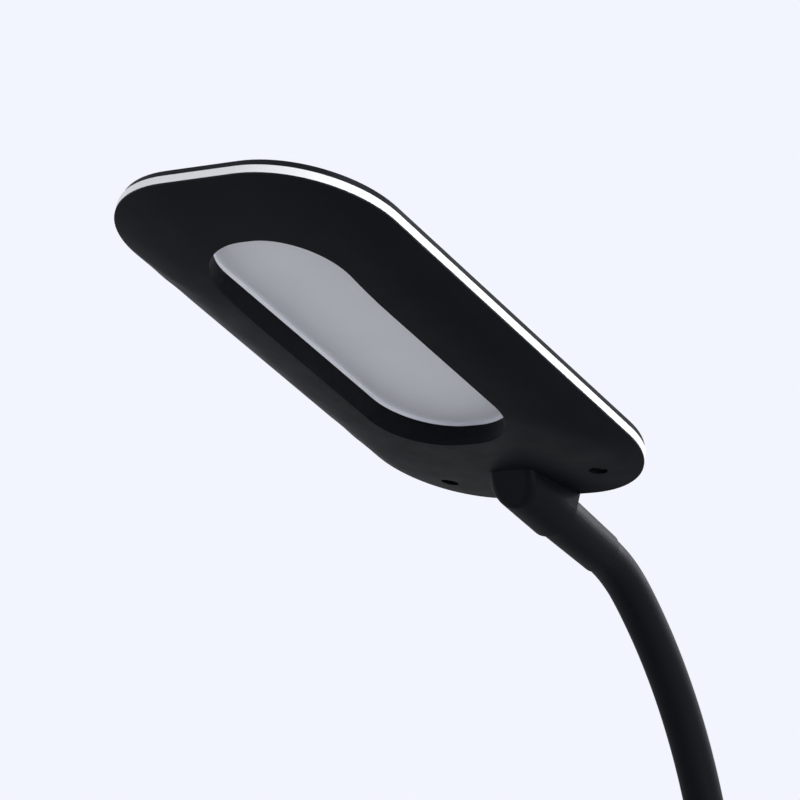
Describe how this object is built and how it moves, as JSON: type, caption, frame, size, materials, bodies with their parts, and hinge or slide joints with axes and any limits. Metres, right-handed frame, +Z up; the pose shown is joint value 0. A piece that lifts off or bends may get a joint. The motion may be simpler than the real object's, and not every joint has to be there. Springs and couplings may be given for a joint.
{
  "type": "gooseneck desk lamp",
  "caption": "Desk lamp: slim rounded light panel on a flexible gooseneck over a flat weighted base with a push button, in matt black with a white edge band.",
  "frame": {"origin": "centre of the base's underside, on the table", "axes": "+Z up; -Y towards the front, where the head and the button are; the object is symmetric about X = 0"},
  "size_m": [0.11, 0.297, 0.3904],
  "materials": {
    "rubber_pad": "matt soft rubber",
    "base_floor_plastic": "fine spark texture",
    "ballast_steel": "plain rolled plate",
    "base_soft_touch": "soft-touch matt black",
    "base_screw_steel": "plated",
    "switch_plastic": "moulded",
    "silicone": "milky silicone",
    "board_laminate": "solder mask",
    "component_black": "moulded packages",
    "board_screw_steel": "plated",
    "inlet_steel": "nickel plated",
    "inlet_laminate": "solder mask",
    "base_lead_insulation": "insulation",
    "root_steel": "machined",
    "collar_soft_touch": "soft-touch matt black",
    "nut_steel": "plated",
    "button_plastic": "satin",
    "end_steel": "machined",
    "sleeve_soft_touch": "soft-touch matt black",
    "washer_polymer": "low-friction sheet",
    "ring_steel": "spring steel",
    "end_lead_insulation": "insulation",
    "head_soft_touch": "soft-touch matt black",
    "edge_band_white": "milky white",
    "cover_soft_touch": "soft-touch matt black",
    "head_screw_steel": "black oxide",
    "diffuser_opal": "opal",
    "light_guide_clear": "clear acrylic",
    "reflector_film": "white film",
    "strip_laminate": "white solder mask",
    "led_phosphor": "phosphor",
    "spreader_aluminium": "plain sheet",
    "head_lead_insulation": "insulation",
    "neck_core_steel": "wound steel",
    "neck_skin_silicone": "matt silicone",
    "neck_lead_insulation": "insulation"
  },
  "bodies": {
    "base": {"anti_slip_pad": "rubber_pad", "base_floor": "base_floor_plastic", "ballast_plate": "ballast_steel", "base_top_shell": "base_soft_touch", "base_screws": "base_screw_steel", "tactile_switch": "switch_plastic", "button_return_boot": "silicone", "control_board": "board_laminate", "board_components": "component_black", "board_screws": "board_screw_steel", "power_inlet": "inlet_steel", "inlet_board": "inlet_laminate", "base_leads": "base_lead_insulation", "neck_root_fitting": "root_steel", "neck_base_collar": "collar_soft_touch", "neck_anchor_nut": "nut_steel"},
    "button": {"power_button": "button_plastic"},
    "neck_link_1": {"neck_core_1": "neck_core_steel", "neck_skin_1": "neck_skin_silicone", "neck_lead_1": "neck_lead_insulation"},
    "neck_link_2": {"neck_core_2": "neck_core_steel", "neck_skin_2": "neck_skin_silicone", "neck_lead_2": "neck_lead_insulation"},
    "neck_link_3": {"neck_core_3": "neck_core_steel", "neck_skin_3": "neck_skin_silicone", "neck_lead_3": "neck_lead_insulation"},
    "neck_link_4": {"neck_core_4": "neck_core_steel", "neck_skin_4": "neck_skin_silicone", "neck_lead_4": "neck_lead_insulation"},
    "neck_link_5": {"neck_core_5": "neck_core_steel", "neck_skin_5": "neck_skin_silicone", "neck_lead_5": "neck_lead_insulation"},
    "neck_link_6": {"neck_core_6": "neck_core_steel", "neck_skin_6": "neck_skin_silicone", "neck_lead_6": "neck_lead_insulation"},
    "neck_link_7": {"neck_core_7": "neck_core_steel", "neck_skin_7": "neck_skin_silicone", "neck_lead_7": "neck_lead_insulation"},
    "neck_link_8": {"neck_core_8": "neck_core_steel", "neck_skin_8": "neck_skin_silicone", "neck_lead_8": "neck_lead_insulation"},
    "neck_link_9": {"neck_core_9": "neck_core_steel", "neck_skin_9": "neck_skin_silicone", "neck_lead_9": "neck_lead_insulation"},
    "neck_end": {"neck_end_fitting": "end_steel", "neck_top_sleeve": "sleeve_soft_touch", "swivel_washer": "washer_polymer", "swivel_retaining_ring": "ring_steel", "neck_end_lead": "end_lead_insulation"},
    "head": {"head_lower_housing": "head_soft_touch", "edge_light_band": "edge_band_white", "head_top_cover": "cover_soft_touch", "head_screws": "head_screw_steel", "diffuser": "diffuser_opal", "light_guide": "light_guide_clear", "reflector_sheet": "reflector_film", "led_strips": "strip_laminate", "leds": "led_phosphor", "heat_spreader": "spreader_aluminium", "head_leads": "head_lead_insulation"}
  },
  "joints": [
    {"name": "button_press", "type": "slide", "parent": "base", "child": "button", "axis": [0, 0, -1], "range_m": [0, 0.001], "stiffness_N_per_m": 1500, "deforming": ["button_return_boot"]},
    {"name": "neck_side_1", "type": "hinge", "parent": "base", "child": "neck_link_1", "pos_m": [0, 0.042, 0.044], "axis": [0, 1, 0], "range_deg": [-15, 15], "deforming": ["neck_skin_1", "neck_lead_1"]},
    {"name": "neck_pitch_1", "type": "hinge", "parent": "neck_link_1", "child": "neck_link_2", "pos_m": [0, 0.042, 0.077], "axis": [1, 0, 0], "range_deg": [-20, 12], "deforming": ["neck_skin_1", "neck_lead_1", "neck_skin_2", "neck_lead_2"]},
    {"name": "neck_side_2", "type": "hinge", "parent": "neck_link_2", "child": "neck_link_3", "pos_m": [0, 0.042, 0.11], "axis": [0, 1, 0], "range_deg": [-15, 15], "deforming": ["neck_skin_2", "neck_lead_2", "neck_skin_3", "neck_lead_3"]},
    {"name": "neck_pitch_2", "type": "hinge", "parent": "neck_link_3", "child": "neck_link_4", "pos_m": [0, 0.042, 0.143], "axis": [1, 0, 0], "range_deg": [-20, 12], "deforming": ["neck_skin_3", "neck_lead_3", "neck_skin_4", "neck_lead_4"]},
    {"name": "neck_side_3", "type": "hinge", "parent": "neck_link_4", "child": "neck_link_5", "pos_m": [0, 0.04045, 0.17595], "axis": [0, 0.9956, 0.0941], "range_deg": [-15, 15], "deforming": ["neck_skin_4", "neck_lead_4", "neck_skin_5", "neck_lead_5"]},
    {"name": "neck_pitch_3", "type": "hinge", "parent": "neck_link_5", "child": "neck_link_6", "pos_m": [0, 0.03506, 0.20848], "axis": [1, 0, 0], "range_deg": [-20, 12], "deforming": ["neck_skin_5", "neck_lead_5", "neck_skin_6", "neck_lead_6"]},
    {"name": "neck_side_4", "type": "hinge", "parent": "neck_link_6", "child": "neck_link_7", "pos_m": [0, 0.02466, 0.23975], "axis": [0, 0.9178, 0.3972], "range_deg": [-15, 15], "deforming": ["neck_skin_6", "neck_lead_6", "neck_skin_7", "neck_lead_7"]},
    {"name": "neck_pitch_4", "type": "hinge", "parent": "neck_link_7", "child": "neck_link_8", "pos_m": [0, 0.00868, 0.26857], "axis": [1, 0, 0], "range_deg": [-20, 12], "deforming": ["neck_skin_7", "neck_lead_7", "neck_skin_8", "neck_lead_8"]},
    {"name": "neck_side_5", "type": "hinge", "parent": "neck_link_8", "child": "neck_link_9", "pos_m": [0, -0.01262, 0.2937], "axis": [0, 0.6947, 0.7193], "range_deg": [-15, 15], "deforming": ["neck_skin_8", "neck_lead_8", "neck_skin_9", "neck_lead_9"]},
    {"name": "neck_pitch_5", "type": "hinge", "parent": "neck_link_9", "child": "neck_end", "pos_m": [0, -0.02933, 0.30446], "axis": [1, 0, 0], "range_deg": [-20, 12], "deforming": ["neck_skin_9", "neck_lead_9", "neck_end_lead"]},
    {"name": "head_swivel", "type": "hinge", "parent": "neck_end", "child": "head", "pos_m": [0, -0.05444, 0.31438], "axis": [0, -0.93, 0.3675], "range_deg": [-90, 90]}
  ]
}
